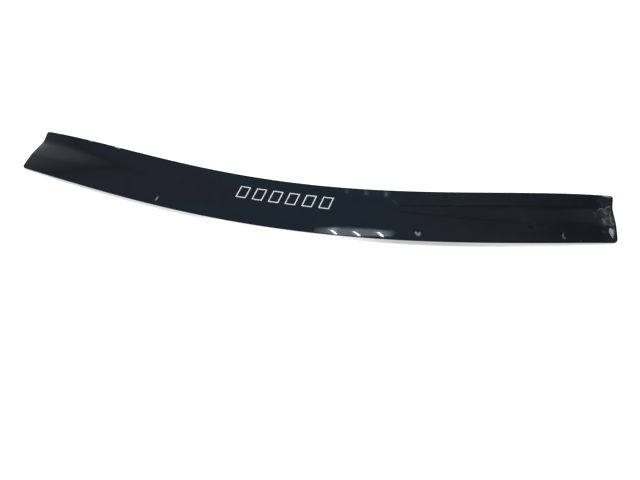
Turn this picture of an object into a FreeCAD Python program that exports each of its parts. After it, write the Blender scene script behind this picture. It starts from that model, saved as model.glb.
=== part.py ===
import FreeCAD, Part
import math
import os

Vector = FreeCAD.Vector

# Face of the shield in mm: half spans of its two long edges, height at the middle, wall
LOWER_HALF_SPAN = 680.0
UPPER_HALF_SPAN = 697.0
FACE_HEIGHT = 124.8
WALL = 3.0

# Bow of the long edges: how far their ends lie above their middle, measured up the
# face, and the share of the bow that eases off before the ends
LOWER_BOW = 93.4
UPPER_BOW = 108.0
LOWER_BOW_EASE_SHARE = 0.12
UPPER_BOW_EASE_SHARE = 0.38

# Fall of the long edges: how far their ends drop below their middle, square to the
# face, and the share of the drop that comes late, near the ends
LOWER_FALL = 28.6
UPPER_FALL = 50.0
LOWER_FALL_LATE_SHARE = 0.61
UPPER_FALL_LATE_SHARE = 0.28

# Angles of the bends across the face in degrees: the rolled lower edge fades towards
# the ends, the two creases fade towards the middle
ROLL_ANGLE_MIDDLE = 13.0
ROLL_ANGLE_END = 3.0
LOWER_CREASE_ANGLE_MIDDLE = 1.0
LOWER_CREASE_ANGLE_END = 7.0
UPPER_CREASE_ANGLE_MIDDLE = 6.0
UPPER_CREASE_ANGLE_END = 20.0

# Places of the bends, measured up the face from its lower edge
ROLL_RISE = 16.0
LOWER_CREASE_RISE_MIDDLE = 76.0
LOWER_CREASE_RISE_END = 50.0
UPPER_CREASE_RISE_MIDDLE = 92.0
UPPER_CREASE_RISE_END = 110.0

# Softness of the bends: the distance over which each one rounds off
ROLL_SOFTNESS = 5.0
CREASE_SOFTNESS_MIDDLE = 7.0
CREASE_SOFTNESS_END = 3.0

# Trimmed rim: rounded corners in plan, and the broken arris along the two long edges
CORNER_RADIUS = 7.0
EDGE_BREAK = 0.6

# Fixing posts bonded to the back: the inner ones placed from the middle of the strip,
# the outer ones from its ends, all at one rise up the face
INNER_POST_OFFSET = 286.0
OUTER_POST_INSET = 104.0
POST_RISE = 18.6
POST_LENGTH = 12.0
POST_SHANK_RADIUS = 7.0
POST_FLANGE_RADIUS = 10.5
POST_FLANGE_THICKNESS = 2.4
POST_TIP_CHAMFER = 0.8
POST_SEAT_ALLOWANCE = 1.2

# Blind pilot bore in each post, for the screw of the clip that grips the bonnet
PILOT_RADIUS = 1.6
PILOT_DEPTH = 9.0
PILOT_MOUTH_CHAMFER = 0.6
DRILL_POINT_ANGLE = 118.0

# Fineness of the loft: sections along the strip and points across each section
SECTIONS = 21
SECTION_POINTS = 15
SMALL_STEP = 1e-4
CUTTER_MARGIN = 4.0
CUTTER_HEIGHT = 24.0
REST_FACET = 0.1
STEEPEST_TILT = 30.0


def blend(middle, end, u):
    """Value at u that runs from its size at the middle to its size at the ends."""
    return middle + (end - middle) * u * u


def lower_edge(u):
    """Point of the lower edge; u is -1 at the left end and 1 at the right end."""
    bow = LOWER_BOW * ((1.0 + LOWER_BOW_EASE_SHARE) * u**2 - LOWER_BOW_EASE_SHARE * u**4)
    fall = LOWER_FALL * ((1.0 - LOWER_FALL_LATE_SHARE) * u**2 + LOWER_FALL_LATE_SHARE * u**4)
    return Vector(LOWER_HALF_SPAN * u, bow - FACE_HEIGHT / 2.0, -fall)


def upper_edge(u):
    """Point of the upper edge."""
    bow = UPPER_BOW * ((1.0 + UPPER_BOW_EASE_SHARE) * u**2 - UPPER_BOW_EASE_SHARE * u**4)
    fall = UPPER_FALL * ((1.0 - UPPER_FALL_LATE_SHARE) * u**2 + UPPER_FALL_LATE_SHARE * u**4)
    return Vector(UPPER_HALF_SPAN * u, bow + FACE_HEIGHT / 2.0, -fall)


def soft_bend(distance, softness):
    """Rise gained past a bend of one radian, rounded off over the bend itself."""
    return softness * math.log1p(math.exp(distance / softness))


def bent_height(rise, u):
    """Height of the bent section over a line that leaves the lower edge straight."""
    roll = math.radians(blend(ROLL_ANGLE_MIDDLE, ROLL_ANGLE_END, u))
    lower = math.radians(blend(LOWER_CREASE_ANGLE_MIDDLE, LOWER_CREASE_ANGLE_END, u))
    upper = math.radians(blend(UPPER_CREASE_ANGLE_MIDDLE, UPPER_CREASE_ANGLE_END, u))
    lower_rise = blend(LOWER_CREASE_RISE_MIDDLE, LOWER_CREASE_RISE_END, u)
    upper_rise = blend(UPPER_CREASE_RISE_MIDDLE, UPPER_CREASE_RISE_END, u)
    softness = blend(CREASE_SOFTNESS_MIDDLE, CREASE_SOFTNESS_END, u)
    height = -roll * soft_bend(rise - ROLL_RISE, ROLL_SOFTNESS)
    height -= lower * soft_bend(rise - lower_rise, softness)
    height += upper * soft_bend(rise - upper_rise, softness)
    return height


class Station:
    """Plane of one cross section, square to the run of the strip."""

    def __init__(self, u):
        self.u = u
        self.foot = lower_edge(u)
        chord = upper_edge(u) - self.foot
        self.width = chord.Length
        self.up = chord * (1.0 / self.width)
        ahead = lower_edge(u + SMALL_STEP) + upper_edge(u + SMALL_STEP)
        behind = lower_edge(u - SMALL_STEP) + upper_edge(u - SMALL_STEP)
        self.out = (ahead - behind).cross(chord)
        self.out.normalize()
        self.base = bent_height(0.0, u)
        self.lean = (bent_height(self.width, u) - self.base) / self.width

    def height(self, rise):
        """Height of the face over the straight chord from edge to edge."""
        return bent_height(rise, self.u) - self.base - self.lean * rise

    def point(self, rise, depth):
        """Point at a rise up the face and a depth below it, square to the section."""
        gain = self.height(rise + SMALL_STEP) - self.height(rise - SMALL_STEP)
        slope = gain / (2.0 * SMALL_STEP)
        stretch = math.hypot(1.0, slope)
        across = rise + depth * slope / stretch
        height = self.height(rise) - depth / stretch
        return self.foot + self.up * across + self.out * height


def face_curve(station, depth):
    """Spline across the strip, from break to break, at a depth below the face."""
    shares = [j / (SECTION_POINTS - 1) for j in range(SECTION_POINTS)]
    span = station.width - 2.0 * EDGE_BREAK
    points = [station.point(EDGE_BREAK + span * share, depth) for share in shares]
    curve = Part.BSplineCurve()
    curve.interpolate(Points=points, Parameters=shares)
    return curve


def section_wire(u):
    """Closed section of the wall with its four arrises broken."""
    station = Station(u)
    outer = face_curve(station, 0.0)
    inner = face_curve(station, WALL)
    inner.reverse()
    edges = [outer.toShape()]
    corners = [outer.EndPoint]
    corners.append(station.point(station.width, EDGE_BREAK))
    corners.append(station.point(station.width, WALL - EDGE_BREAK))
    corners.append(inner.StartPoint)
    edges += [Part.makeLine(a, b) for a, b in zip(corners, corners[1:])]
    edges.append(inner.toShape())
    corners = [inner.EndPoint]
    corners.append(station.point(0.0, WALL - EDGE_BREAK))
    corners.append(station.point(0.0, EDGE_BREAK))
    corners.append(outer.StartPoint)
    edges += [Part.makeLine(a, b) for a, b in zip(corners, corners[1:])]
    return Part.Wire(edges)


def corner_cutter(edge, rise, inner_rise):
    """Prism that rounds the corner where a long edge meets the right end.

    The corner lies at a rise up the end of the face, and the inner rise is a little
    way from it towards the middle of that end.
    """
    end = Station(1.0)
    corner = end.point(rise, 0.0)
    along = edge(1.0 - SMALL_STEP) - corner
    along.normalize()
    across = end.point(inner_rise, 0.0) - corner
    across.normalize()
    square = corner - end.point(rise, WALL)
    square.normalize()
    half = along.getAngle(across) / 2.0
    inward = along + across
    inward.normalize()
    reach = CORNER_RADIUS / math.tan(half)
    centre = corner + inward * (CORNER_RADIUS / math.sin(half))
    first = corner + along * reach
    last = corner + across * reach
    over_first = first - across * CUTTER_MARGIN
    over_last = last - along * CUTTER_MARGIN
    beyond = corner - (along + across) * CUTTER_MARGIN
    arc = Part.Arc(last, centre - inward * CORNER_RADIUS, first)
    corners = [first, over_first, beyond, over_last, last]
    edges = [Part.makeLine(a, b) for a, b in zip(corners, corners[1:])]
    profile = Part.Face(Part.Wire(edges + [arc.toShape()]))
    profile.translate(square * (-CUTTER_HEIGHT / 2.0))
    return profile.extrude(square * CUTTER_HEIGHT)


def shield():
    """The thermoformed strip: a lofted wall with its four corners rounded off."""
    stations = [-1.0 + 2.0 * i / (SECTIONS - 1) for i in range(SECTIONS)]
    strip = Part.makeLoft([section_wire(u) for u in stations], True, False)
    end_width = Station(1.0).width
    right = [
        corner_cutter(lower_edge, 0.0, SMALL_STEP),
        corner_cutter(upper_edge, end_width, end_width - SMALL_STEP),
    ]
    left = [cutter.mirror(Vector(), Vector(1.0, 0.0, 0.0)) for cutter in right]
    return strip.cut(right + left).Solids[0]


def post_axis(offset):
    """Face point over a post and the outward normal there."""
    u = offset / LOWER_HALF_SPAN
    station = Station(u)
    ahead = Station(u + SMALL_STEP).point(POST_RISE, 0.0)
    behind = Station(u - SMALL_STEP).point(POST_RISE, 0.0)
    above = station.point(POST_RISE + SMALL_STEP, 0.0)
    below = station.point(POST_RISE - SMALL_STEP, 0.0)
    normal = (ahead - behind).cross(above - below)
    normal.normalize()
    return station.point(POST_RISE, 0.0), normal


def post_profile():
    """Half section of a post, its axis on Z and the back of the wall at height zero."""
    bore_end = PILOT_DEPTH - POST_LENGTH
    drill_point = PILOT_RADIUS / math.tan(math.radians(DRILL_POINT_ANGLE / 2.0))
    corners = [
        Vector(0.0, 0.0, bore_end + drill_point),
        Vector(0.0, 0.0, POST_SEAT_ALLOWANCE),
        Vector(POST_FLANGE_RADIUS, 0.0, POST_SEAT_ALLOWANCE),
        Vector(POST_FLANGE_RADIUS, 0.0, -POST_FLANGE_THICKNESS),
        Vector(POST_SHANK_RADIUS, 0.0, -POST_FLANGE_THICKNESS),
        Vector(POST_SHANK_RADIUS, 0.0, POST_TIP_CHAMFER - POST_LENGTH),
        Vector(POST_SHANK_RADIUS - POST_TIP_CHAMFER, 0.0, -POST_LENGTH),
        Vector(PILOT_RADIUS + PILOT_MOUTH_CHAMFER, 0.0, -POST_LENGTH),
        Vector(PILOT_RADIUS, 0.0, PILOT_MOUTH_CHAMFER - POST_LENGTH),
        Vector(PILOT_RADIUS, 0.0, bore_end),
    ]
    return Part.Face(Part.makePolygon(corners + corners[:1]))


def fixing_post(offset, strip):
    """Turned post whose flange is seated on the curved back of the strip."""
    point, normal = post_axis(offset)
    upright = Vector(0.0, 0.0, 1.0)
    post = post_profile().revolve(Vector(), upright, 360.0)
    lean = math.degrees(upright.getAngle(normal))
    post.rotate(Vector(), upright.cross(normal), lean)
    post.translate(point - normal * WALL)
    return max(post.cut(strip).Solids, key=lambda solid: solid.Volume)


def lowest(points, tilt):
    """Lowest height among points tilted about X, in degrees."""
    angle = math.radians(tilt)
    return min(p.y * math.sin(angle) + p.z * math.cos(angle) for p in points)


def rest_tilt(strip, post):
    """Tilt at which the ends of the strip and the outer posts rest on one level."""
    strip_points = strip.copy().tessellate(REST_FACET)[0]
    post_points = post.copy().tessellate(REST_FACET)[0]
    low = 0.0
    high = STEEPEST_TILT
    while high - low > SMALL_STEP:
        middle = (low + high) / 2.0
        if lowest(strip_points, middle) < lowest(post_points, middle):
            low = middle
        else:
            high = middle
    return (low + high) / 2.0


def lay_down(pieces, tilt):
    """Tilt the pieces to their rest and set the middle of their footprint at the origin."""
    for shape in pieces.values():
        shape.rotate(Vector(), Vector(1.0, 0.0, 0.0), tilt)
    box = Part.makeCompound(list(pieces.values())).optimalBoundingBox(False, False)
    shift = Vector(0.0, -(box.YMin + box.YMax) / 2.0, -box.ZMin)
    for shape in pieces.values():
        shape.translate(shift)


strip = shield()
pieces = {"shield": strip}
post_offsets = {"inner": INNER_POST_OFFSET, "outer": LOWER_HALF_SPAN - OUTER_POST_INSET}
for row, offset in post_offsets.items():
    pieces["fixing_post_" + row + "_left"] = fixing_post(-offset, strip)
    pieces["fixing_post_" + row + "_right"] = fixing_post(offset, strip)
tilt = rest_tilt(strip, pieces["fixing_post_outer_right"])
lay_down(pieces, tilt)

os.makedirs("parts", exist_ok=True)
for name, shape in pieces.items():
    shape.exportStep("parts/" + name + ".step")
    print(name, shape.ShapeType, shape.isValid(), round(shape.Volume, 1))
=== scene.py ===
import logging
import math
from dataclasses import dataclass
from enum import Enum
from functools import partial, reduce

import bmesh
import bpy
from bmesh.types import BMesh, BMFace
from bpy.types import Material, Node, NodeTree, Object
from bpy.types import NodeSocket as Socket
from mathutils import Matrix, Quaternion, Vector, noise


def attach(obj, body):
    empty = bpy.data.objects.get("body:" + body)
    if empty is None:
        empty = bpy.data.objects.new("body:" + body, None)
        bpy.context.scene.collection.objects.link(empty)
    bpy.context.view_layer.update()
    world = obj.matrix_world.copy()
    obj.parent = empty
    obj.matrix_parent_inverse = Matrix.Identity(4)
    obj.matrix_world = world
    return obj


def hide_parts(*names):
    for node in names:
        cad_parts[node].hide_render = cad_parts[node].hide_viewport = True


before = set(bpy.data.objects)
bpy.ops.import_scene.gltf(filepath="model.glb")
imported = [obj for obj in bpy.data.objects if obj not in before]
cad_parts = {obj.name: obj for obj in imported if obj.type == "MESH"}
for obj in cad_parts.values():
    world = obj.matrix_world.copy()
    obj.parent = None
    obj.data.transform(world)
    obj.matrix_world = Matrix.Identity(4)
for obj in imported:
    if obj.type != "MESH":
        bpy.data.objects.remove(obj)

log = logging.getLogger("hood_deflector")

Pair = tuple[float, float]
Triple = tuple[float, float, float]
Stops = tuple[tuple[float, Triple], ...]

SMALL_STEP = 1e-4
BODY = "root"
WHITE = (1.0, 1.0, 1.0)


class Slot(Enum):
    """Names of two material slots; no piece here takes its finish from them."""

    SMOKED_ACRYLIC = "smoked_acrylic"
    BLACK_PLASTIC = "black_plastic"


# Helpers


def blend(middle: float, end: float, u: float) -> float:
    """Value at u that runs from its size at the middle to its size at the ends."""
    return middle + (end - middle) * u * u


def late_run(size: float, late: float, u: float) -> float:
    """Value at u that runs from zero at the middle to its size at the ends.

    Args:
        size: Value at the ends.
        late: Share of it that is gained late, near the ends; below zero, early.
        u: Place along the strip.

    Returns:
        The value at u.
    """
    return size * ((1.0 - late) * u**2 + late * u**4)


def grid_share(place: float) -> float:
    """Share of the way across a flat grid that runs from -1 to 1."""
    return (place + 1.0) / 2.0


def parabola(values: Triple, share: float) -> float:
    """Value on a parabola through three values.

    Args:
        values: Values at the start, the middle and the end.
        share: Share of the way along.

    Returns:
        The value at that share.
    """
    start, middle, end = values
    outer = start * (1.0 - share) * (1.0 - 2.0 * share) + end * share * (2.0 * share - 1.0)
    return outer + 4.0 * middle * share * (1.0 - share)


def soft_bend(distance: float, softness: float) -> float:
    """Rise gained past a bend of one radian, rounded off over the bend itself."""
    return softness * math.log1p(math.exp(distance / softness))


def mesh_object(bm: BMesh, name: str, smooth: bool) -> Object:
    """Turn a finished bmesh into an object of the scene.

    Args:
        bm: Mesh in metres; it is freed here.
        name: Name of the object.
        smooth: True where the faces are shaded as one smooth surface.

    Returns:
        The new object, linked to the scene.
    """
    mesh = bpy.data.meshes.new(name)
    bm.to_mesh(mesh)
    bm.free()
    for polygon in mesh.polygons:
        polygon.use_smooth = smooth
    made = bpy.data.objects.new(name, mesh)
    bpy.context.scene.collection.objects.link(made)
    return made


class NodeSheet:
    """Small helper that adds and joins the nodes of one material, lamp or world."""

    def __init__(self, tree: NodeTree) -> None:
        """Start from an empty node tree."""
        self.tree = tree
        tree.nodes.clear()

    def add(self, kind: str, **settings: object) -> Node:
        """Add a node and set its attributes.

        Args:
            kind: Node type, such as ShaderNodeTexNoise.
            settings: Attributes to set on it.

        Returns:
            The new node.
        """
        node = self.tree.nodes.new(kind)
        for name, value in settings.items():
            setattr(node, name, value)
        return node

    def feed(self, node: Node, values: dict[str | int, object]) -> Node:
        """Give inputs of a node their link or their plain value.

        Args:
            node: Node whose inputs are fed.
            values: Output to link or value to set, by the name or number of the input.

        Returns:
            The same node.
        """
        for key, value in values.items():
            if isinstance(value, Socket):
                self.tree.links.new(value, node.inputs[key])
            else:
                node.inputs[key].default_value = value
        return node

    def close(self, kind: str, surface: Socket) -> None:
        """Join the finished surface to an output node of the given type."""
        self.feed(self.add(kind), {"Surface": surface})

    def coordinates(self) -> Socket:
        """Object coordinates, in metres."""
        return self.add("ShaderNodeTexCoord").outputs["Object"]

    def noise(self, where: Socket, scale: float, detail: float = 2.0) -> Socket:
        """Value of a noise texture.

        Args:
            where: Coordinates that the pattern follows.
            scale: Number of features to the metre.
            detail: Octaves of finer noise.

        Returns:
            The factor output of the texture.
        """
        values = {"Scale": scale, "Detail": detail, "Vector": where}
        return self.feed(self.add("ShaderNodeTexNoise"), values).outputs["Fac"]

    def ramp(self, value: Socket, places: tuple[float, ...], tints: tuple[Triple, ...]) -> Socket:
        """Colour ramp over a value.

        Args:
            value: Value from 0 to 1.
            places: Place of each stop, in order.
            tints: Colour of each stop.

        Returns:
            The colour output.
        """
        ramp = self.add("ShaderNodeValToRGB")
        elements = ramp.color_ramp.elements
        while len(elements) < len(places):
            elements.new(1.0)
        for element, place, colour in zip(elements, places, tints):
            element.position = place
            element.color = (*colour, 1.0)
        return self.feed(ramp, {"Fac": value}).outputs["Color"]

    def span(self, value: Socket, low: float, high: float, start: float, end: float) -> Socket:
        """Map a value smoothly from one span to another.

        Args:
            value: Value to map.
            low: Value that maps to start.
            high: Value that maps to end.
            start: Result at low.
            end: Result at high.

        Returns:
            The mapped value.
        """
        mapping = self.add("ShaderNodeMapRange", interpolation_type="SMOOTHSTEP")
        ends = {"From Min": low, "From Max": high, "To Min": start, "To Max": end}
        return self.feed(mapping, {**ends, "Value": value}).outputs["Result"]

    def compute(self, operation: str, *values: Socket | float) -> Socket:
        """Result of an operation on values, each of them an output or a number."""
        node = self.add("ShaderNodeMath", operation=operation)
        return self.feed(node, dict(enumerate(values))).outputs["Value"]

    def product(self, *factors: Socket) -> Socket:
        """Product of several values."""
        return reduce(partial(self.compute, "MULTIPLY"), factors)

    def mix(
        self, kind: str, share: Socket, first: Socket | float, second: Socket | float
    ) -> Socket:
        """Mix of two numbers or of two colours.

        Args:
            kind: FLOAT or RGBA.
            share: Share of the second one, from 0 to 1.
            first: Result at a share of 0.
            second: Result at a share of 1.

        Returns:
            The mixed value.
        """
        node = self.add("ShaderNodeMix", data_type=kind)
        return self.feed(node, {"Factor": share, "A": first, "B": second}).outputs["Result"]

    def part(self, vector: Socket, axis: str) -> Socket:
        """One coordinate of a vector."""
        return self.feed(self.add("ShaderNodeSeparateXYZ"), {"Vector": vector}).outputs[axis]

    def length(self, vector: Socket) -> Socket:
        """Length of a vector."""
        node = self.add("ShaderNodeVectorMath", operation="LENGTH")
        return self.feed(node, {0: vector}).outputs["Value"]

    def bump(self, height: Socket, distance: float, strength: float = 1.0) -> Socket:
        """Bumped normal from a height.

        Args:
            height: Height from 0 to 1.
            distance: Height in metres of a full step.
            strength: Share of the bump that shows.

        Returns:
            The normal output.
        """
        values = {"Distance": distance, "Strength": strength, "Height": height}
        return self.feed(self.add("ShaderNodeBump"), values).outputs["Normal"]


# Finishes


@dataclass(frozen=True)
class Finish:
    """Finish that one principled shader makes."""

    name: str

    def dress(self, sheet: NodeSheet, shader: Node) -> None:
        """Feed the inputs of the shader; each finish has its own way."""
        raise NotImplementedError

    def material(self) -> Material:
        """Create the material of the finish.

        Returns:
            The material, with its shader joined to the output.
        """
        material = bpy.data.materials.new(self.name)
        material.use_nodes = True
        sheet = NodeSheet(material.node_tree)
        shader = sheet.add("ShaderNodeBsdfPrincipled")
        self.dress(sheet, shader)
        sheet.close("ShaderNodeOutputMaterial", shader.outputs["BSDF"])
        return material


@dataclass(frozen=True)
class GlossAcrylic(Finish):
    """Thermoformed acrylic, smoked so deep that it reads blue black."""

    name: str = "gloss_smoked_acrylic"
    deep: Triple = (0.0018, 0.0022, 0.0042)
    pale: Triple = (0.0030, 0.0038, 0.0070)
    tint_places: Pair = (0.35, 0.7)
    roughness: float = 0.035
    dulled: float = 0.075
    dulled_over: Pair = (0.5, 0.75)
    refraction: float = 1.49
    wave_scale: float = 9.0
    wave_detail: float = 1.0
    wave_height: float = 0.00022
    haze_scale: float = 38.0
    haze_detail: float = 3.0
    scuff_scale: float = 620.0
    scuff_detail: float = 4.0

    def dress(self, sheet: NodeSheet, shader: Node) -> None:
        """Gloss with a cloudy tint, thermoforming waves and dulled patches.

        Args:
            sheet: Nodes of the material.
            shader: Shader that is fed.
        """
        where = sheet.coordinates()
        haze = sheet.noise(where, self.haze_scale, self.haze_detail)
        scuffs = sheet.noise(where, self.scuff_scale, self.scuff_detail)
        waves = sheet.noise(where, self.wave_scale, self.wave_detail)
        looks = {
            "IOR": self.refraction,
            "Base Color": sheet.ramp(haze, self.tint_places, (self.deep, self.pale)),
            "Roughness": sheet.span(scuffs, *self.dulled_over, self.roughness, self.dulled),
            "Normal": sheet.bump(waves, self.wave_height),
        }
        sheet.feed(shader, looks)


@dataclass(frozen=True)
class GrainedPlastic(Finish):
    """Moulded plastic with a fine spark-eroded grain; also used for painted glints and painted
    shade.
    """

    dark: Triple
    light: Triple
    roughness: float = 0.5
    gloss: float = 0.5
    grain_scale: float = 900.0
    grain_height: float = 0.00006
    grain_strength: float = 0.6
    tint_places: Pair = (0.35, 0.65)
    rough_over: Pair = (0.3, 0.7)
    rough_swing: float = 0.08

    def dress(self, sheet: NodeSheet, shader: Node) -> None:
        """Matte, with a mottled colour and a fine grain.

        Args:
            sheet: Nodes of the material.
            shader: Shader that is fed.
        """
        grain = sheet.noise(sheet.coordinates(), self.grain_scale)
        swing = (self.roughness - self.rough_swing, self.roughness + self.rough_swing)
        looks = {
            "Specular IOR Level": self.gloss,
            "Base Color": sheet.ramp(grain, self.tint_places, (self.dark, self.light)),
            "Roughness": sheet.span(grain, *self.rough_over, *swing),
            "Normal": sheet.bump(grain, self.grain_height, self.grain_strength),
        }
        sheet.feed(shader, looks)


@dataclass(frozen=True)
class SawnRim(Finish):
    """Sawn and scraped rim of the acrylic, duller and blacker than the face."""

    name: str = "scraped_acrylic_rim"
    deep: Triple = (0.0008, 0.0010, 0.0014)
    pale: Triple = (0.0030, 0.0034, 0.0042)
    tint_places: Pair = (0.4, 0.7)
    roughness: float = 0.32
    gloss: float = 0.16
    chatter_scale: float = 1400.0
    chatter_height: float = 0.00003
    chatter_strength: float = 0.5

    def dress(self, sheet: NodeSheet, shader: Node) -> None:
        """Satin black with the fine chatter of the scraper.

        Args:
            sheet: Nodes of the material.
            shader: Shader that is fed.
        """
        chatter = sheet.noise(sheet.coordinates(), self.chatter_scale)
        looks = {
            "Roughness": self.roughness,
            "Specular IOR Level": self.gloss,
            "Base Color": sheet.ramp(chatter, self.tint_places, (self.deep, self.pale)),
            "Normal": sheet.bump(chatter, self.chatter_height, self.chatter_strength),
        }
        sheet.feed(shader, looks)


@dataclass(frozen=True)
class ClearFilm(Finish):
    """Leftover of a clear protective film, clouded where it is creased; also painted glints and
    fold shade.
    """

    colour: Triple = (0.62, 0.64, 0.62)
    faint: float = 0.015
    clouded: float = 0.16
    cloud_scale: float = 70.0
    cloud_from: float = 0.50
    cloud_to: float = 0.78
    roughness: float = 0.24
    sets_in: Pair = (-2.0, -1.0)
    cloud_detail: float = 3.0
    tint_places: Pair = (0.3, 0.7)
    paler: float = 1.2

    def dress(self, sheet: NodeSheet, shader: Node) -> None:
        """Glossy and see-through, with a cloudiness that follows the creases.

        Args:
            sheet: Nodes of the material.
            shader: Shader that is fed.
        """
        where = sheet.coordinates()
        cloud = sheet.noise(where, self.cloud_scale, self.cloud_detail)
        pale = tuple(min(1.0, self.paler * part) for part in self.colour)
        density = sheet.span(cloud, self.cloud_from, self.cloud_to, self.faint, self.clouded)
        onset = sheet.span(sheet.part(where, "X"), *self.sets_in, 0.0, 1.0)
        looks = {
            "Roughness": self.roughness,
            "Base Color": sheet.ramp(cloud, self.tint_places, (self.colour, pale)),
            "Alpha": sheet.product(density, onset),
        }
        sheet.feed(shader, looks)


def finish_mesh(
    bm: BMesh, name: str, finishes: tuple[Finish, ...], smooth: bool = True
) -> Object:
    """Turn a finished bmesh into a piece that rides on the body.

    Args:
        bm: Mesh in the shared frame, in metres; it is freed here.
        name: Name of the piece.
        finishes: Finishes, in the order of the material numbers of the faces.
        smooth: True where the faces are shaded as one smooth surface.

    Returns:
        The new piece.
    """
    piece = mesh_object(bm, name, smooth)
    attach(piece, BODY)
    for finish in finishes:
        piece.data.materials.append(finish.material())
    return piece


# Form of the face


@dataclass(frozen=True)
class LongEdge:
    """Long edge of the face, which bows and falls towards both ends, in metres.

    The middle is where it lies across the strip at u = 0. A late share puts part of the
    bow or of the fall off to the ends; below zero, it comes early.
    """

    half_span: float
    middle: float
    bow: float
    bow_late: float
    fall: float
    fall_late: float

    def point(self, u: float) -> Vector:
        """Point of the edge before the strip is laid down."""
        across = self.middle + late_run(self.bow, self.bow_late, u)
        return Vector((self.half_span * u, across, -late_run(self.fall, self.fall_late, u)))


@dataclass
class FaceForm:
    """Doubly curved face of the strip, from edge to edge, in metres.

    A place on the face is given by u, from -1 at the left end to 1 at the right end,
    and by the rise up the face from its lower edge. Pairs of numbers hold a size at the
    middle and the same size at the ends. Angles are in degrees but for the tilt.
    """

    lower: LongEdge = LongEdge(
        half_span=0.680, middle=-0.0624, bow=0.0934, bow_late=-0.12, fall=0.0286, fall_late=0.61
    )
    upper: LongEdge = LongEdge(
        half_span=0.697, middle=0.0624, bow=0.1080, bow_late=-0.38, fall=0.0500, fall_late=0.28
    )
    roll_turn: Pair = (13.0, 3.0)
    lower_crease_turn: Pair = (1.0, 7.0)
    upper_crease_turn: Pair = (6.0, 20.0)
    roll_rise: float = 0.016
    lower_crease_rise: Pair = (0.076, 0.050)
    upper_crease_rise: Pair = (0.092, 0.110)
    roll_softness: float = 0.005
    crease_softness: Pair = (0.007, 0.003)
    tilt: float = math.radians(10.262060)
    shift: Triple = (0.0, -0.0570774, 0.0290397)

    def width(self, u: float) -> float:
        """Straight distance from the lower to the upper edge."""
        return (self.upper.point(u) - self.lower.point(u)).length

    def bent_height(self, rise: float, u: float) -> float:
        """Height of the bent section over a line that leaves the lower edge straight.

        Args:
            rise: Rise up the face.
            u: Place along the strip.

        Returns:
            The height, which is below zero where the roll leads.
        """
        softness = blend(*self.crease_softness, u)
        roll = math.radians(blend(*self.roll_turn, u))
        lower = math.radians(blend(*self.lower_crease_turn, u))
        upper = math.radians(blend(*self.upper_crease_turn, u))
        height = -roll * soft_bend(rise - self.roll_rise, self.roll_softness)
        height -= lower * soft_bend(rise - blend(*self.lower_crease_rise, u), softness)
        height += upper * soft_bend(rise - blend(*self.upper_crease_rise, u), softness)
        return height

    def point(self, u: float, rise: float) -> Vector:
        """Point of the face, laid down on the floor.

        Args:
            u: Place along the strip.
            rise: Rise up the face.

        Returns:
            The point in the shared frame.
        """
        foot = self.lower.point(u)
        chord = self.upper.point(u) - foot
        ahead = self.lower.point(u + SMALL_STEP) + self.upper.point(u + SMALL_STEP)
        behind = self.lower.point(u - SMALL_STEP) + self.upper.point(u - SMALL_STEP)
        out = (ahead - behind).cross(chord).normalized()
        width = chord.length
        base = self.bent_height(0.0, u)
        lean = (self.bent_height(width, u) - base) / width
        height = self.bent_height(rise, u) - base - lean * rise
        local = foot + chord * (rise / width) + out * height
        return Matrix.Rotation(self.tilt, 3, "X") @ local + Vector(self.shift)

    def normal(self, u: float, rise: float) -> Vector:
        """Outward normal of the laid down face.

        Args:
            u: Place along the strip.
            rise: Rise up the face.

        Returns:
            The normal, of length 1.
        """
        along = self.point(u + SMALL_STEP, rise) - self.point(u - SMALL_STEP, rise)
        across = self.point(u, rise + SMALL_STEP) - self.point(u, rise - SMALL_STEP)
        return along.cross(across).normalized()

    def over(self, u: float, rise: float, depth: float) -> Vector:
        """Point at a height over the face, square to it; a negative one lies below."""
        return self.point(u, rise) + self.normal(u, rise) * depth


# Sub-assemblies


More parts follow.
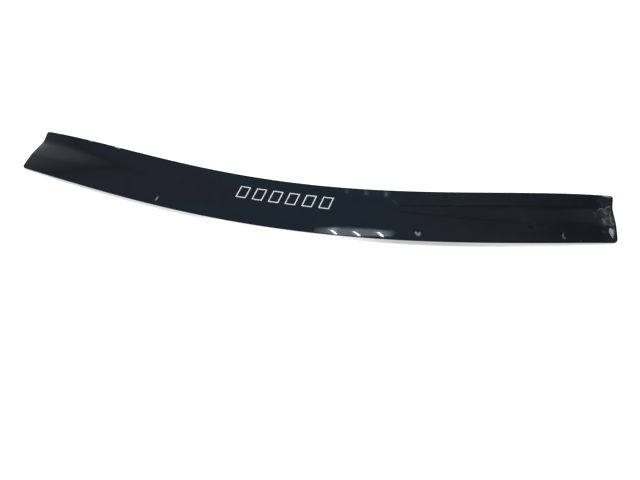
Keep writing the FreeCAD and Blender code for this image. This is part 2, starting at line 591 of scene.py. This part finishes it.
@dataclass
class Shield:
    """The thermoformed strip itself."""

    form: FaceForm
    finish: GlossAcrylic = GlossAcrylic()
    rim_finish: SawnRim = SawnRim()
    wall: float = 0.00284
    clearance: float = 0.00008
    corner_radius: float = 0.0078
    arris: float = 0.0006
    arris_segments: int = 3
    sharp_from: float = math.radians(50.0)
    inset: float = 0.00045
    columns: int = 220
    corner_columns: int = 8
    rows: int = 52
    lower_rim: float = 0.0013
    upper_rim: float = 0.0023
    rim_columns: int = 2

    def place(self, column: int, row: int) -> Vector:
        """Point of the face at a column and a row of the grid.

        Args:
            column: Column of the grid, counted from the left end.
            row: Row of the grid, counted from the lower edge.

        Returns:
            The point in the shared frame; the corners of the grid are rounded off.
        """
        from_end = min(column, self.columns - column)
        side = -1.0 if column < self.columns / 2 else 1.0
        reach = self.form.upper.half_span
        if from_end < self.corner_columns:
            turn = math.pi / 2.0 * from_end / self.corner_columns
            back = self.corner_radius * (1.0 - math.cos(turn))
            cut = self.corner_radius * (1.0 - math.sin(turn))
        else:
            inner = self.columns - 2 * self.corner_columns
            share = 2.0 * (from_end - self.corner_columns) / inner
            back = self.corner_radius + (reach - self.corner_radius) * share
            cut = 0.0
        u = side * (1.0 - (back + self.inset) / reach)
        cut += self.inset
        clear = self.form.width(u) - 2.0 * cut
        if row == 0:
            rise = 0.0
        elif row == self.rows:
            rise = clear
        else:
            middle = clear - self.lower_rim - self.upper_rim
            rise = self.lower_rim + middle * (row - 1) / (self.rows - 2)
        return self.form.over(u, cut + rise, -self.clearance)

    def at_rim(self, face: BMFace) -> bool:
        """Find out if a face of the flat grid lies along its rim.

        Args:
            face: Face of the grid.

        Returns:
            True for a face of the rim.
        """
        middle = face.calc_center_median()
        column = int(grid_share(middle.x) * self.columns)
        row = int(grid_share(middle.y) * self.rows)
        from_end = min(column, self.columns - 1 - column)
        return row in (0, self.rows - 1) or from_end < self.rim_columns

    def build(self) -> Object:
        """Shape a flat grid to the face, give it its wall and break its rim.

        Returns:
            The piece that stands for the shield.
        """
        bm = bmesh.new()
        bmesh.ops.create_grid(bm, x_segments=self.columns, y_segments=self.rows, size=1.0)
        for face in bm.faces:
            face.material_index = 1 if self.at_rim(face) else 0
        for vert in bm.verts:
            column = round(grid_share(vert.co.x) * self.columns)
            row = round(grid_share(vert.co.y) * self.rows)
            vert.co = self.place(column, row)
        bm.normal_update()
        bmesh.ops.solidify(bm, geom=bm.faces[:], thickness=self.wall)
        bm.normal_update()
        rim = [edge for edge in bm.edges if edge.calc_face_angle(0.0) > self.sharp_from]
        bmesh.ops.bevel(
            bm,
            geom=rim,
            offset=self.arris,
            offset_type="OFFSET",
            affect="EDGES",
            segments=self.arris_segments,
            profile=0.5,
            material=-1,
            clamp_overlap=True,
        )
        piece = finish_mesh(bm, "shield_skin", (self.finish, self.rim_finish))
        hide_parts("shield")
        return piece


@dataclass
class FixingPosts:
    """Four turned posts bonded to the back of the strip."""

    names: tuple[str, ...] = (
        "fixing_post_inner_left",
        "fixing_post_inner_right",
        "fixing_post_outer_left",
        "fixing_post_outer_right",
    )
    finish: GrainedPlastic = GrainedPlastic(
        "matte_moulded_plastic", (0.010, 0.010, 0.011), (0.020, 0.020, 0.022)
    )

    def dress(self) -> list[Object]:
        """Give the turned posts their moulded finish.

        Returns:
            The posts.
        """
        material = self.finish.material()
        posts = [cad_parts[name] for name in self.names]
        for post in posts:
            post.data.materials.clear()
            post.data.materials.append(material)
        return posts


@dataclass
class StripeDecal:
    """Row of slanted outline bars in white vinyl."""

    form: FaceForm
    finish: GrainedPlastic = GrainedPlastic(
        "white_vinyl", (0.84, 0.85, 0.86), (0.90, 0.91, 0.92), roughness=0.38
    )
    centre: float = -0.0168
    rise: float = 0.0795
    bar_height: float = 0.0315
    bars: int = 6
    bar_width: float = 0.0225
    gap: float = 0.0142
    slant: float = 0.16
    line: float = 0.0019
    cuts: int = 3
    thickness: float = 0.00012

    def bar(self, bm: BMesh, middle: float) -> None:
        """Add one slanted outline to the mesh, flat, with x along and y up the face.

        Args:
            bm: Mesh that takes the bar.
            middle: Place of the middle of the bar along the strip.
        """
        made = bmesh.ops.create_grid(bm, x_segments=1, y_segments=1, size=0.5)
        verts = made["verts"]
        bmesh.ops.scale(bm, vec=(self.bar_width, self.bar_height, 1.0), verts=verts)
        for vert in verts:
            vert.co.x += vert.co.y * self.slant + middle
        face = verts[0].link_faces[0]
        bmesh.ops.inset_region(
            bm, faces=[face], thickness=self.line, use_boundary=True, use_even_offset=True
        )
        bmesh.ops.delete(bm, geom=[face], context="FACES")

    def build(self) -> Object:
        """Lay the bars on the face and give the vinyl its thickness.

        Returns:
            The decal.
        """
        bm = bmesh.new()
        for number in range(self.bars):
            steps = number - (self.bars - 1) / 2.0
            self.bar(bm, self.centre + steps * (self.bar_width + self.gap))
        bmesh.ops.subdivide_edges(bm, edges=bm.edges[:], cuts=self.cuts, use_grid_fill=True)
        for vert in bm.verts:
            u = vert.co.x / self.form.lower.half_span
            vert.co = self.form.over(u, self.rise + vert.co.y, self.thickness)
        bm.normal_update()
        bmesh.ops.solidify(bm, geom=bm.faces[:], thickness=self.thickness)
        bmesh.ops.recalc_face_normals(bm, faces=bm.faces[:])
        return finish_mesh(bm, "stripe_decal", (self.finish,), smooth=False)


class MarkLook(Enum):
    """Looks of the marks on the face, in the order of their materials; the light two are painted
    glints.
    """

    DARK = 0
    FAINT = 1
    CLEAR = 2


class FilmLook(Enum):
    """Looks of the shreds of film, in the order of their materials; both are partly painted glint.
    """

    THIN = 0
    DENSE = 1


@dataclass(frozen=True)
class Stroke:
    """Slim patch along a path over the face.

    The path has three places, each given by u and by the rise. The widths, in metres,
    belong to its start, its middle and its end. Without a look, the patch takes the
    first material.
    """

    path: tuple[Pair, Pair, Pair]
    widths: Triple
    look: MarkLook | FilmLook | None = None

    def place(self, share: float) -> Vector:
        """Place on the path as u and rise, at a share of its length."""
        us, rises = zip(*self.path)
        return Vector((parabola(us, share), parabola(rises, share)))


@dataclass
class StrokeSheet:
    """Slim patches that lie on the face and share one mesh."""

    form: FaceForm
    name: str = ""
    finishes: tuple[Finish, ...] = ()
    strokes: tuple[Stroke, ...] = ()
    steps: int = 14
    across: int = 4
    blunt: float = 0.04
    lift: float = 0.00008
    curl: float = 0.0
    thickness: float = 0.00006

    def lay(self, bm: BMesh, stroke: Stroke) -> None:
        """Shape a small grid along the path of a stroke, with rounded ends.

        Args:
            bm: Mesh that takes the patch.
            stroke: Stroke that gives the path and the widths.
        """
        span = Vector((self.form.lower.half_span, 1.0))
        made = bmesh.ops.create_grid(bm, x_segments=self.steps, y_segments=self.across, size=1.0)
        for vert in made["verts"]:
            share = grid_share(vert.co.x)
            side = vert.co.y
            run = (stroke.place(share + SMALL_STEP) - stroke.place(share - SMALL_STEP)) * span
            across = Vector((-run.y, run.x)).normalized()
            turn = math.pi * (self.blunt + (1.0 - 2.0 * self.blunt) * share)
            ends = math.sqrt(math.sin(turn))
            half = parabola(stroke.widths, share) * ends / 2.0
            shift = across * side * half
            u, rise = stroke.place(share)
            height = self.lift + self.curl * side * side * ends
            vert.co = self.form.over(u + shift.x / span.x, rise + shift.y, height)
        for face in {face for vert in made["verts"] for face in vert.link_faces}:
            face.material_index = stroke.look.value if stroke.look else 0

    def build(self) -> Object:
        """Lay all the strokes and give them their thickness.

        Returns:
            The patches as one piece.
        """
        bm = bmesh.new()
        for stroke in self.strokes:
            self.lay(bm, stroke)
        bmesh.ops.recalc_face_normals(bm, faces=bm.faces[:])
        bmesh.ops.solidify(bm, geom=bm.faces[:], thickness=self.thickness)
        bmesh.ops.recalc_face_normals(bm, faces=bm.faces[:])
        return finish_mesh(bm, self.name, self.finishes)


@dataclass
class PaintedLightMarks(StrokeSheet):
    """Painted glints and shade over the post dimples, a painted streak of light, a dark streak."""

    name: str = "painted_light_marks"
    # Painted shade with a dark streak, then a faint and a clear painted glint.
    finishes: tuple[Finish, ...] = (
        GrainedPlastic("painted_shade_and_dark_streak", (0.002, 0.002, 0.003), (0.006, 0.006, 0.007), 0.6, 0.06),
        GrainedPlastic("painted_glint_faint", (0.040, 0.043, 0.047), (0.090, 0.096, 0.104), 0.45),
        GrainedPlastic("painted_glint_clear", (0.110, 0.118, 0.122), (0.230, 0.240, 0.245), 0.45),
    )
    strokes: tuple[Stroke, ...] = (
        # Painted shade on the dimple of the outer left post.
        Stroke(
            ((-0.8567, 0.0145), (-0.8527, 0.0153), (-0.8488, 0.0162)),
            (0.0034, 0.0042, 0.0034),
            MarkLook.DARK,
        ),
        # Painted glint on the dimple of the inner left post.
        Stroke(
            ((-0.4385, 0.0105), (-0.4358, 0.0163), (-0.4341, 0.0231)),
            (0.0036, 0.0044, 0.0032),
            MarkLook.CLEAR,
        ),
        # Painted glint on the dimple of the inner right post, in two lobes.
        Stroke(
            ((0.3956, 0.0205), (0.4001, 0.0169), (0.4066, 0.0114)),
            (0.0052, 0.0050, 0.0046),
            MarkLook.CLEAR,
        ),
        Stroke(
            ((0.4088, 0.0210), (0.4089, 0.0158), (0.4076, 0.0105)),
            (0.0044, 0.0052, 0.0048),
            MarkLook.CLEAR,
        ),
        # Painted glint on the dimple of the outer right post.
        Stroke(
            ((0.8346, 0.0254), (0.8324, 0.0168), (0.8350, 0.0104)),
            (0.0028, 0.0040, 0.0044),
            MarkLook.FAINT,
        ),
        Stroke(
            ((0.8340, 0.0122), (0.8374, 0.0114), (0.8410, 0.0110)),
            (0.0046, 0.0050, 0.0034),
            MarkLook.FAINT,
        ),
        # Faint painted streak of reflected light near the top edge.
        Stroke(
            ((0.3057, 0.1054), (0.3175, 0.0988), (0.3301, 0.0919)),
            (0.0005, 0.0006, 0.0004),
            MarkLook.FAINT,
        ),
        # Short dark streak on the right half.
        Stroke(
            ((0.7279, 0.0443), (0.7362, 0.0416), (0.7446, 0.0391)),
            (0.0034, 0.0040, 0.0024),
            MarkLook.DARK,
        ),
    )


@dataclass
class PaintedFoldShade(StrokeSheet):
    """Painted shade: dark lines along the two folds of the right end."""

    name: str = "painted_fold_shade"
    finishes: tuple[Finish, ...] = (
        # Near-black film finish that paints the shade along the folds.
        ClearFilm("painted_fold_shade_line", (0.001, 0.001, 0.001), 0.15, 0.28, 60.0, 0.4, 0.7, 0.6),
    )
    strokes: tuple[Stroke, ...] = (
        Stroke(((0.3350, 0.0896), (0.6325, 0.1006), (0.9300, 0.1095)), (0.0060, 0.0052, 0.0042)),
        Stroke(((0.3350, 0.0722), (0.5600, 0.0624), (0.7400, 0.0515)), (0.0062, 0.0056, 0.0046)),
        Stroke(((0.7380, 0.0517), (0.8300, 0.0452), (0.9450, 0.0420)), (0.0046, 0.0040, 0.0024)),
    )
    steps: int = 90
    across: int = 2
    lift: float = 0.00005


@dataclass
class FilmRemnant:
    """Creased end of the clear protective film, still stuck to the right end."""

    form: FaceForm
    finish: ClearFilm = ClearFilm(
        "creased_clear_film", faint=0.006, clouded=0.10, sets_in=(0.645, 0.675)
    )
    start: float = 0.946
    end: float = 0.9925
    tear: float = 0.022
    tear_scale: float = 31.0
    tear_seed: float = 3.0
    low: float = 0.004
    high: float = 0.1405
    columns: int = 44
    rows: int = 120
    lift: float = 0.0003
    crease: float = 0.0010
    crease_scale: float = 48.0
    crease_seed: float = 0.4
    crease_growth: float = 3.0
    thickness: float = 0.00006

    def build(self) -> Object:
        """Lay a grid on the end of the face, tear its inner edge and crease it.

        Returns:
            The film.
        """
        bm = bmesh.new()
        bmesh.ops.create_grid(bm, x_segments=self.columns, y_segments=self.rows, size=1.0)
        for vert in bm.verts:
            along = grid_share(vert.co.x)
            across = grid_share(vert.co.y)
            rise = self.low + (self.high - self.low) * across
            torn = Vector((rise * self.tear_scale, self.tear_seed, 0.0))
            ragged = self.tear * noise.noise(torn)
            u = self.start + ragged + (self.end - self.start - ragged) * along
            creased = Vector((u * self.form.lower.half_span, rise, self.crease_seed))
            wrinkle = abs(noise.noise(creased * self.crease_scale))
            height = self.lift + self.crease * wrinkle * min(1.0, self.crease_growth * along)
            vert.co = self.form.over(u, rise, height)
        bm.normal_update()
        bmesh.ops.solidify(bm, geom=bm.faces[:], thickness=self.thickness)
        bmesh.ops.recalc_face_normals(bm, faces=bm.faces[:])
        return finish_mesh(bm, "film_remnant", (self.finish,))


@dataclass
class FilmShredsAndGlints(StrokeSheet):
    """Clouded shreds of film at the right end and on the left top edge, partly painted glints."""

    name: str = "film_shreds_and_glints"
    finishes: tuple[Finish, ...] = (
        # Pale clouded film, partly real film and partly painted glints on the crinkles.
        ClearFilm("thin_film_shred_and_glint", (0.36, 0.38, 0.37), 0.02, 0.26, 420.0, 0.40, 0.68, 0.3),
        ClearFilm("dense_film_shred_and_glint", (0.56, 0.58, 0.56), 0.08, 0.86, 620.0, 0.43, 0.60, 0.3),
    )
    strokes: tuple[Stroke, ...] = (
        Stroke(
            ((0.9636, 0.1400), (0.9770, 0.1398), (0.9890, 0.1370)),
            (0.0030, 0.0046, 0.0040),
            FilmLook.DENSE,
        ),
        Stroke(
            ((0.9481, 0.0966), (0.9570, 0.1031), (0.9685, 0.1016)),
            (0.0024, 0.0036, 0.0052),
            FilmLook.THIN,
        ),
        Stroke(
            ((0.9721, 0.1031), (0.9830, 0.1106), (0.9920, 0.1076)),
            (0.0040, 0.0050, 0.0052),
            FilmLook.THIN,
        ),
        Stroke(
            ((0.9323, 0.0904), (0.9363, 0.0858), (0.9386, 0.0749)),
            (0.0018, 0.0026, 0.0020),
            FilmLook.THIN,
        ),
        Stroke(
            ((0.9576, 0.0707), (0.9616, 0.0610), (0.9639, 0.0523)),
            (0.0048, 0.0070, 0.0042),
            FilmLook.THIN,
        ),
        Stroke(
            ((0.9790, 0.0393), (0.9812, 0.0265), (0.9846, 0.0110)),
            (0.0112, 0.0092, 0.0028),
            FilmLook.DENSE,
        ),
        Stroke(
            ((0.9885, 0.0970), (0.9850, 0.0771), (0.9856, 0.0545)),
            (0.0026, 0.0036, 0.0046),
            FilmLook.THIN,
        ),
        Stroke(
            ((0.8807, 0.0026), (0.8852, 0.0022), (0.8897, 0.0025)),
            (0.0010, 0.0014, 0.0010),
            FilmLook.THIN,
        ),
        Stroke(
            ((-0.7960, 0.1394), (-0.7840, 0.1394), (-0.7720, 0.1384)),
            (0.0018, 0.0026, 0.0018),
            FilmLook.DENSE,
        ),
        Stroke(
            ((-0.6748, 0.1372), (-0.6614, 0.1368), (-0.6474, 0.1354)),
            (0.0020, 0.0034, 0.0022),
            FilmLook.DENSE,
        ),
    )
    lift: float = 0.0003
    curl: float = 0.0004


@dataclass
class AdhesiveBeads:
    """Squeezed-out bead of adhesive round the flange of each post."""

    form: FaceForm
    finish: GrainedPlastic = GrainedPlastic(
        "cured_adhesive",
        (0.020, 0.021, 0.022),
        (0.060, 0.062, 0.064),
        roughness=0.28,
        grain_scale=300.0,
    )
    offsets: tuple[float, ...] = (-0.576, -0.286, 0.286, 0.576)
    rise: float = 0.0186
    flange_radius: float = 0.0105
    bead_radius: float = 0.0008
    wall: float = 0.0030
    steps: int = 48
    bead_segments: int = 12
    weld_distance: float = 1e-6

    def bead(self, bm: BMesh, offset: float) -> None:
        """Spin one bead and press it onto the curved back.

        Args:
            bm: Mesh that takes the bead.
            offset: Place of the post along the strip.
        """
        upright = Matrix.Rotation(math.pi / 2.0, 4, "X")
        turn = Matrix.Translation((self.flange_radius, 0.0, 0.0)) @ upright
        made = bmesh.ops.create_circle(
            bm, segments=self.bead_segments, radius=self.bead_radius, matrix=turn
        )
        rim = made["verts"]
        edges = list({edge for vert in rim for edge in vert.link_edges})
        before = set(bm.verts) - set(rim)
        bmesh.ops.spin(
            bm,
            geom=rim + edges,
            cent=(0.0, 0.0, 0.0),
            axis=(0.0, 0.0, 1.0),
            dvec=(0.0, 0.0, 0.0),
            angle=2.0 * math.pi,
            steps=self.steps,
            use_merge=True,
        )
        for vert in set(bm.verts) - before:
            u = (offset + vert.co.x) / self.form.lower.half_span
            vert.co = self.form.over(u, self.rise + vert.co.y, -self.wall - vert.co.z)

    def build(self) -> Object:
        """Make the four beads.

        Returns:
            The beads as one piece.
        """
        bm = bmesh.new()
        for offset in self.offsets:
            self.bead(bm, offset)
        bmesh.ops.remove_doubles(bm, verts=bm.verts[:], dist=self.weld_distance)
        bmesh.ops.recalc_face_normals(bm, faces=bm.faces[:])
        piece = finish_mesh(bm, "adhesive_beads", (self.finish,))
        return piece


# Studio


@dataclass(frozen=True)
class Lamp:
    """Rectangular area lamp, aimed at a point; its light is even over its surface."""

    name: str
    place: Triple
    size: Pair
    radiance: float
    colour: Triple = WHITE
    target: Triple = (0.0, 0.0, 0.0)
    twist: float = 0.0
    mirrored: bool = True

    def pattern(self, sheet: NodeSheet) -> Socket | None:
        """Share of the radiance over the surface, or None where it is even."""
        return None

    def light(self) -> None:
        """Create the lamp; its power follows from its radiance and its area."""
        data = bpy.data.lights.new(self.name, "AREA")
        data.shape = "RECTANGLE"
        data.size, data.size_y = self.size
        data.color = self.colour
        data.energy = self.radiance * math.pi * self.size[0] * self.size[1]
        data.use_nodes = True
        sheet = NodeSheet(data.node_tree)
        glow = sheet.add("ShaderNodeEmission")
        pattern = self.pattern(sheet)
        if pattern is not None:
            sheet.feed(glow, {"Strength": pattern})
        sheet.close("ShaderNodeOutputLight", glow.outputs["Emission"])
        lamp = bpy.data.objects.new(self.name, data)
        lamp.location = self.place
        aim = Vector(self.target) - Vector(self.place)
        turn = aim.to_track_quat("-Z", "Y") @ Quaternion((0.0, 0.0, 1.0), math.radians(self.twist))
        lamp.rotation_euler = turn.to_euler()
        lamp.visible_camera = False
        lamp.visible_glossy = self.mirrored
        bpy.context.scene.collection.objects.link(lamp)


@dataclass(frozen=True)
class RoundLamp(Lamp):
    """Area lamp that fades from its middle to its rim."""

    centre: Triple = (0.5, 0.5, 0.0)
    rim: float = 0.5

    def pattern(self, sheet: NodeSheet) -> Socket:
        """Full in the middle and dark at the rim.

        Args:
            sheet: Nodes of the lamp.

        Returns:
            The share of the radiance over the surface.
        """
        place = sheet.add("ShaderNodeNewGeometry").outputs["Parametric"]
        centred = sheet.add("ShaderNodeVectorMath", operation="SUBTRACT")
        sheet.feed(centred, {0: place, 1: self.centre})
        return sheet.span(sheet.length(centred.outputs["Vector"]), 0.0, self.rim, 1.0, 0.0)


@dataclass(frozen=True)
class GlowPanel(Lamp):
    """Area lamp with a dim sharp end, a soft far end and slanted borders.

    Each border gives its slope, the two values between which the light changes, and the
    share of the light at both.
    """

    dim_end: float = 0.33
    dim_until: float = 0.22
    soft_from: float = 0.89
    top_from: float = 0.89
    borders: tuple[tuple[float, float, float, float, float], ...] = (
        (0.403, -0.037, -0.007, 0.0, 1.0),
        (0.540, 0.238, 0.810, 1.0, 0.0),
        (2.200, 0.024, 0.643, 1.0, 0.0),
        (-2.383, 2.526, 3.288, 1.0, 0.0),
    )

    def pattern(self, sheet: NodeSheet) -> Socket:
        """Product of the falls along the panel, across it and at its slanted borders.

        Args:
            sheet: Nodes of the lamp.

        Returns:
            The share of the radiance over the surface.
        """
        place = sheet.add("ShaderNodeNewGeometry").outputs["Parametric"]
        along = sheet.part(place, "X")
        across = sheet.part(place, "Y")
        falls = [
            sheet.span(along, 0.0, self.dim_until, self.dim_end, 1.0),
            sheet.span(along, self.soft_from, 1.0, 1.0, 0.0),
            sheet.span(across, self.top_from, 1.0, 1.0, 0.0),
        ]
        for slope, *change in self.borders:
            slanted = sheet.compute("MULTIPLY_ADD", along, -slope, across)
            falls.append(sheet.span(slanted, *change))
        return sheet.product(*falls)


@dataclass
class Studio:
    """Floor, surroundings, lamps and camera.

    Each stop of a room gives the upward part of a direction and the colour seen there.
    A tube gives its name, place, length and twist in degrees, and a halo or a glint its
    name, place and radiance.
    """

    floor_radius: float = 30.0
    floor_segments: int = 96
    floor_colour: Triple = (0.80, 0.80, 0.80)
    floor_lift: float = 0.60
    front_lift: tuple[Pair, ...] = (
        (-0.213, 0.66),
        (-0.151, 0.90),
        (0.100, 0.90),
        (0.230, 0.45),
    )
    front_shift: float = 0.5
    front_ends: Pair = (-0.085, -0.055)
    white_between: Pair = (0.8, 1.6)
    camera_place: Triple = (0.21602, -0.77562, 0.74834)
    camera_right: Triple = (0.98136, 0.19172, -0.01298)
    camera_ahead: Triple = (-0.13750, 0.65340, -0.74442)
    focal_length: float = 27.0
    sensor_width: float = 36.0
    white_until: float = 0.245
    blue_room: Stops = (
        (0.31, (0.37, 0.41, 0.45)),
        (0.42, (0.31, 0.34, 0.38)),
        (0.55, (0.15, 0.17, 0.22)),
        (0.66, (0.23, 0.27, 0.35)),
        (0.77, (0.26, 0.31, 0.41)),
        (0.86, (0.25, 0.40, 0.53)),
    )
    grey_room: Stops = (
        (0.31, (0.34, 0.34, 0.36)),
        (0.42, (0.26, 0.28, 0.30)),
        (0.52, (0.20, 0.22, 0.24)),
        (0.66, (0.22, 0.26, 0.33)),
        (0.75, (0.22, 0.25, 0.31)),
        (0.84, (0.30, 0.33, 0.40)),
        (0.92, (0.29, 0.37, 0.46)),
    )
    dim_room: Stops = (
        (0.31, (0.28, 0.28, 0.30)),
        (0.42, (0.22, 0.23, 0.25)),
        (0.52, (0.17, 0.18, 0.20)),
        (0.60, (0.12, 0.13, 0.15)),
        (0.66, (0.14, 0.16, 0.19)),
        (0.75, (0.18, 0.20, 0.24)),
        (0.86, (0.26, 0.30, 0.37)),
    )
    room_changes: tuple[Pair, ...] = ((-0.02, 0.30), (0.32, 0.42))
    panel_height: float = 2.4
    panel_middle: Pair = (0.0600, 0.4625)
    panel_size: Pair = (0.66, 1.175)
    panel_radiance: float = 3.2
    cool: Triple = (0.72, 0.86, 1.0)
    tube_drop: float = 0.03
    tube_width: float = 0.015
    tube_radiance: float = 60.0
    tubes: tuple[tuple[str, float, float, float, float], ...] = (
        ("left", -0.110, 0.166, 0.21, 12.4),
        ("middle", 0.075, 0.250, 0.25, 14.6),
        ("right", 0.265, 0.405, 0.33, 9.8),
    )
    glow_drop: float = 0.01
    halo_size: Pair = (0.11, 0.80)
    halos: tuple[tuple[str, float, float, float], ...] = (
        ("left", -0.128, 0.40, 4.6),
        ("middle", 0.055, 0.48, 1.4),
        ("right", 0.240, 0.58, 1.6),
    )
    glint_size: Pair = (0.06, 0.04)
    glints: tuple[tuple[str, float, float, float], ...] = (
        ("left", -0.049, 0.994, 1.9),
        ("middle", 0.124, 1.010, 3.2),
        ("right", 0.316, 1.026, 3.8),
    )
    key: Lamp = Lamp("key", (-0.5, -1.0, 3.0), (0.5, 0.5), 80.0, mirrored=False)

    def lift(self, sheet: NodeSheet) -> Socket:
        """Glow of the floor: even behind the strip, by its place in front, white far out.

        Args:
            sheet: Nodes of the floor's material.

        Returns:
            The strength of the glow.
        """
        where = sheet.coordinates()
        shifted = sheet.compute("ADD", sheet.part(where, "X"), self.front_shift)
        stops = [(x + self.front_shift, (level,) * 3) for x, level in self.front_lift]
        behind = sheet.span(sheet.part(where, "Y"), *self.front_ends, 0.0, 1.0)
        near = sheet.mix("FLOAT", behind, sheet.ramp(shifted, *zip(*stops)), self.floor_lift)
        far = sheet.span(sheet.length(where), *self.white_between, 0.0, 1.0)
        return sheet.compute("MAXIMUM", near, far)

    def floor_material(self) -> Material:
        """White floor that keeps its shadow and is clear from below.

        Returns:
            The material of the floor.
        """
        material = bpy.data.materials.new("studio_floor")
        material.use_nodes = True
        sheet = NodeSheet(material.node_tree)
        diffuse = sheet.add("ShaderNodeBsdfDiffuse")
        sheet.feed(diffuse, {"Color": (*self.floor_colour, 1.0)})
        path = sheet.add("ShaderNodeLightPath")
        seen = path.outputs["Is Camera Ray"]
        for name in ("Is Glossy Ray", "Is Transmission Ray"):
            seen = sheet.compute("MAXIMUM", seen, path.outputs[name])
        glow = sheet.add("ShaderNodeEmission")
        sheet.feed(glow, {"Strength": sheet.product(seen, self.lift(sheet))})
        both = sheet.add("ShaderNodeAddShader")
        sheet.feed(both, {0: diffuse.outputs["BSDF"], 1: glow.outputs["Emission"]})
        below = sheet.add("ShaderNodeNewGeometry").outputs["Backfacing"]
        clear = sheet.add("ShaderNodeBsdfTransparent").outputs["BSDF"]
        choice = sheet.add("ShaderNodeMixShader")
        sheet.feed(choice, {"Fac": below, 1: both.outputs["Shader"], 2: clear})
        sheet.close("ShaderNodeOutputMaterial", choice.outputs["Shader"])
        return material

    def lay_floor(self) -> None:
        """Lay the round floor under the object."""
        bm = bmesh.new()
        bmesh.ops.create_circle(
            bm, cap_ends=True, segments=self.floor_segments, radius=self.floor_radius
        )
        floor = mesh_object(bm, "floor", smooth=False)
        floor.data.materials.append(self.floor_material())

    def surround(self) -> None:
        """Room round the object: white low down, a dimmer cool grey overhead."""
        world = bpy.data.worlds.new("room")
        bpy.context.scene.world = world
        world.use_nodes = True
        sheet = NodeSheet(world.node_tree)
        way = sheet.add("ShaderNodeTexCoord").outputs["Generated"]
        upward = sheet.part(way, "Z")
        sideways = sheet.part(way, "X")
        low_down = ((0.0, WHITE), (self.white_until, WHITE))
        colour, *rooms = [
            sheet.ramp(upward, *zip(*low_down, *stops))
            for stops in (self.blue_room, self.grey_room, self.dim_room)
        ]
        for room, change in zip(rooms, self.room_changes):
            colour = sheet.mix("RGBA", sheet.span(sideways, *change, 0.0, 1.0), colour, room)
        background = sheet.add("ShaderNodeBackground")
        sheet.feed(background, {"Color": colour})
        sheet.close("ShaderNodeOutputWorld", background.outputs["Background"])

    def overhead(
        self, kind: type[Lamp], name: str, middle: Pair, drop: float, **looks: object
    ) -> Lamp:
        """Lamp that faces straight down.

        Args:
            kind: Sort of lamp.
            name: Name of the lamp.
            middle: Place of its middle over the floor.
            drop: How far it hangs below the height of the panel.
            looks: Further fields of the lamp.

        Returns:
            The lamp, not yet created in the scene.
        """
        place = (*middle, self.panel_height - drop)
        return kind(name, place, target=(*middle, 0.0), **looks)

    def lamps(self) -> list[Lamp]:
        """Three slim tubes with halos and glints, a glow panel overhead and a key lamp.

        Returns:
            The lamps, not yet created in the scene.
        """
        lamps = []
        for name, x, y, length, twist in self.tubes:
            looks = {
                "size": (self.tube_width, length),
                "radiance": self.tube_radiance,
                "twist": twist,
            }
            lamps.append(self.overhead(Lamp, "tube_" + name, (x, y), self.tube_drop, **looks))
        rounds = (("halo_", self.halos, self.halo_size), ("glint_", self.glints, self.glint_size))
        for start, rows, size in rounds:
            for name, x, y, level in rows:
                looks = {"size": size, "radiance": level, "colour": self.cool}
                lamp = self.overhead(RoundLamp, start + name, (x, y), self.glow_drop, **looks)
                lamps.append(lamp)
        looks = {"size": self.panel_size, "radiance": self.panel_radiance, "colour": self.cool}
        lamps.append(self.overhead(GlowPanel, "overhead", self.panel_middle, 0.0, **looks))
        lamps.append(self.key)
        return lamps

    def set_camera(self) -> None:
        """Stand the camera at the viewing place."""
        data = bpy.data.cameras.new("camera")
        data.lens = self.focal_length
        data.sensor_width = self.sensor_width
        camera = bpy.data.objects.new("camera", data)
        ahead = Vector(self.camera_ahead).normalized()
        right = Vector(self.camera_right).normalized()
        above = right.cross(ahead)
        turn = Matrix((right, above, -ahead)).transposed()
        camera.matrix_world = Matrix.Translation(self.camera_place) @ turn.to_4x4()
        bpy.context.scene.collection.objects.link(camera)
        bpy.context.scene.camera = camera

    def build(self) -> None:
        """Set up the whole studio."""
        self.lay_floor()
        self.surround()
        for lamp in self.lamps():
            lamp.light()
        self.set_camera()
        bpy.context.scene.view_settings.view_transform = "Standard"


def report(piece: Object) -> None:
    """Log the name and the size of a finished piece."""
    log.info("%s: %d faces", piece.name, len(piece.data.polygons))


def main() -> None:
    """Build the object and its studio."""
    logging.basicConfig(level=logging.INFO, format="%(name)s: %(message)s")
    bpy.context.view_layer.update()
    Studio().build()
    form = FaceForm()
    report(Shield(form).build())
    for post in FixingPosts().dress():
        report(post)
    for assembly in (
        AdhesiveBeads(form),
        StripeDecal(form),
        PaintedLightMarks(form),
        PaintedFoldShade(form),
        FilmRemnant(form),
        FilmShredsAndGlints(form),
    ):
        report(assembly.build())


if __name__ == "__main__":
    main()
